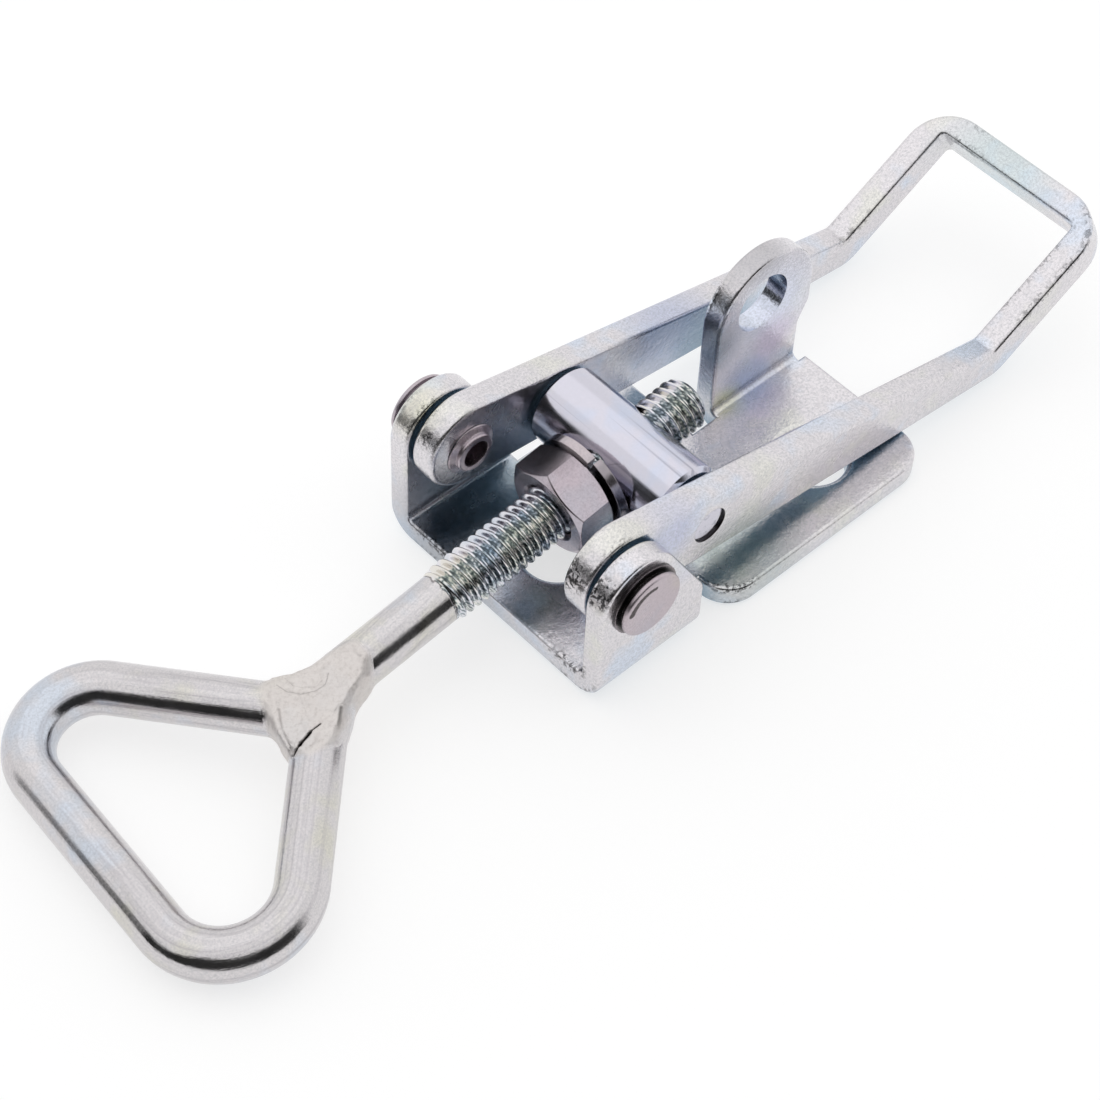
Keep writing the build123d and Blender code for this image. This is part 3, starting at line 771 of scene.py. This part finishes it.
# Floor, light and camera
studio = {
    "floorSize": 6.0,
    "floorDrop": 0.0002,  # keeps the base's own face clear of it
    "floorColour": 0.42,
    "floorGlow": 0.64,
    "skyLevel": 1.0,
    "bandLevel": 0.03,  # dark side of the room, seen only in the metal
    "bandHigh": 0.66, "bandSoft": 0.07,
    "bandTurn": -139.0, "bandHalf": 79.0, "bandSideSoft": 0.20,
    "lowTurn": 150.0, "lowFrom": (0.72, 0.95), "lowBy": 0.22,  # its top comes down this way
    "tableEdge": (0.10, 0.15),  # where the white table ends towards the dark side
    "softboxWatts": 0.12, "softboxSize": 0.5, "softboxPlace": (0.05, 0.12, 0.45),
}


def makeFloor():
    half = studio["floorSize"] / 2
    low = -studio["floorDrop"]
    floor = newMesh("floor", [(-half, -half, low), (half, -half, low), (half, half, low),
                              (-half, half, low)], [(0, 1, 2, 3)])
    paper = newFinish("whitePaper")
    tree = paper.node_tree
    dull = addNode(tree, "ShaderNodeBsdfDiffuse", values={
        "Color": grey(studio["floorColour"])})
    glow = addNode(tree, "ShaderNodeEmission", values={
        "Color": grey(1), "Strength": studio["floorGlow"]})
    both = addNode(tree, "ShaderNodeAddShader", links={0: (dull, 0), 1: (glow, 0)})
    # In the metal the table ends on the dark side
    turn = radians(studio["bandTurn"])
    place = addNode(tree, "ShaderNodeTexCoord")
    out = addNode(tree, "ShaderNodeVectorMath", {"operation": "DOT_PRODUCT"},
                  {1: (cos(turn), sin(turn), 0)}, {0: (place, "Object")})
    past = addNode(tree, "ShaderNodeMapRange", values={
        "From Min": studio["tableEdge"][0], "From Max": studio["tableEdge"][1]},
        links={"Value": (out, "Value")})
    rays = addNode(tree, "ShaderNodeLightPath")
    seen = addNode(tree, "ShaderNodeMath", {"operation": "MULTIPLY"}, links={
        0: (past, 0), 1: (rays, "Is Glossy Ray")})
    dark = addNode(tree, "ShaderNodeEmission", values={
        "Color": grey(1), "Strength": studio["bandLevel"]})
    table = addNode(tree, "ShaderNodeMixShader", links={0: (seen, 0), 1: (both, 0), 2: (dark, 0)})
    addNode(tree, "ShaderNodeOutputMaterial", links={"Surface": (table, 0)})
    floor.data.materials.append(paper)


def makeRoom():
    # A white room whose side before the latch is dark between the table and the overhead light
    world = bpy.data.worlds.new("studio")
    bpy.context.scene.world = world
    world.use_nodes = True
    tree = world.node_tree
    tree.nodes.clear()
    way = addNode(tree, "ShaderNodeTexCoord")
    parts = addNode(tree, "ShaderNodeSeparateXYZ", links={0: (way, "Generated")})
    turn = radians(studio["bandTurn"])
    flat = addNode(tree, "ShaderNodeVectorMath", {"operation": "MULTIPLY"}, {1: (1, 1, 0)},
                   {0: (way, "Generated")})
    unit = addNode(tree, "ShaderNodeVectorMath", {"operation": "NORMALIZE"}, links={0: (flat, 0)})
    facing = addNode(tree, "ShaderNodeVectorMath", {"operation": "DOT_PRODUCT"},
                     {1: (cos(turn), sin(turn), 0)}, {0: (unit, 0)})
    edge = cos(radians(studio["bandHalf"]))
    side = addNode(tree, "ShaderNodeMapRange", {"interpolation_type": "SMOOTHSTEP"}, {
        "From Min": edge - studio["bandSideSoft"], "From Max": edge + studio["bandSideSoft"]},
        {"Value": (facing, "Value")})
    lowTurn = radians(studio["lowTurn"])
    toLow = addNode(tree, "ShaderNodeVectorMath", {"operation": "DOT_PRODUCT"},
                    {1: (cos(lowTurn), sin(lowTurn), 0)}, {0: (unit, 0)})
    lowered = addNode(tree, "ShaderNodeMapRange", {"interpolation_type": "SMOOTHSTEP"}, {
        "From Min": studio["lowFrom"][0], "From Max": studio["lowFrom"][1],
        "To Max": studio["lowBy"]}, {"Value": (toLow, "Value")})
    high = addNode(tree, "ShaderNodeMath", {"operation": "ADD"}, links={
        0: (parts, "Z"), 1: (lowered, 0)})
    below = addNode(tree, "ShaderNodeMapRange", {"interpolation_type": "SMOOTHSTEP"}, {
        "From Min": studio["bandHigh"] + studio["bandSoft"],
        "From Max": studio["bandHigh"] - studio["bandSoft"]}, {"Value": (high, 0)})
    dark = addNode(tree, "ShaderNodeMath", {"operation": "MULTIPLY"}, links={
        0: (side, 0), 1: (below, 0)})
    level = addNode(tree, "ShaderNodeMapRange", values={
        "To Min": studio["skyLevel"], "To Max": studio["bandLevel"]}, links={"Value": (dark, 0)})
    rays = addNode(tree, "ShaderNodeLightPath")
    lit = addNode(tree, "ShaderNodeMix", {"data_type": "FLOAT"}, {"B": 1.0}, {
        "Factor": (rays, "Is Camera Ray"), "A": (level, 0)})
    back = addNode(tree, "ShaderNodeBackground", values={"Color": grey(1)}, links={
        "Strength": (lit, 0)})
    addNode(tree, "ShaderNodeOutputWorld", links={"Surface": (back, 0)})


def makeSoftbox():
    lamp = bpy.data.lights.new("softbox", "AREA")
    lamp.shape = "SQUARE"
    lamp.size = studio["softboxSize"]
    lamp.energy = studio["softboxWatts"]
    holder = bpy.data.objects.new("softbox", lamp)
    holder.location = studio["softboxPlace"]
    holder.rotation_euler = (-holder.location).to_track_quat("-Z", "Y").to_euler()
    bpy.context.scene.collection.objects.link(holder)


camera = {
    "place": (-127.610, -127.199, 227.425),  # mm
    "turn": 44.868, "down": 51.307, "roll": 2.836,
    "focus": 2866.392,  # focal length in pixels of the 1100 pixel frame
    "frame": 1100,
    "sensor": 36,
    "clip": 0.01,
}


def makeCamera():
    turn, down, roll = (radians(camera[k]) for k in ("turn", "down", "roll"))
    ahead = Vector((sin(turn) * cos(down), cos(turn) * cos(down), -sin(down)))
    level = Vector((cos(turn), -sin(turn), 0))
    raised = level.cross(ahead)
    right = level * cos(roll) + raised * sin(roll)
    top = -level * sin(roll) + raised * cos(roll)
    eye = bpy.data.cameras.new("camera")
    eye.lens = camera["focus"] / camera["frame"] * camera["sensor"]
    eye.sensor_width = camera["sensor"]
    eye.clip_start = camera["clip"]
    holder = bpy.data.objects.new("camera", eye)
    holder.matrix_world = Matrix((
        (right.x, top.x, -ahead.x, camera["place"][0] * mm),
        (right.y, top.y, -ahead.y, camera["place"][1] * mm),
        (right.z, top.z, -ahead.z, camera["place"][2] * mm),
        (0, 0, 0, 1)))
    bpy.context.scene.collection.objects.link(holder)
    bpy.context.scene.camera = holder


makeFloor()
makeRoom()
makeSoftbox()
makeCamera()
bpy.context.scene.view_settings.view_transform = "Standard"
print("floor, room, light and camera")
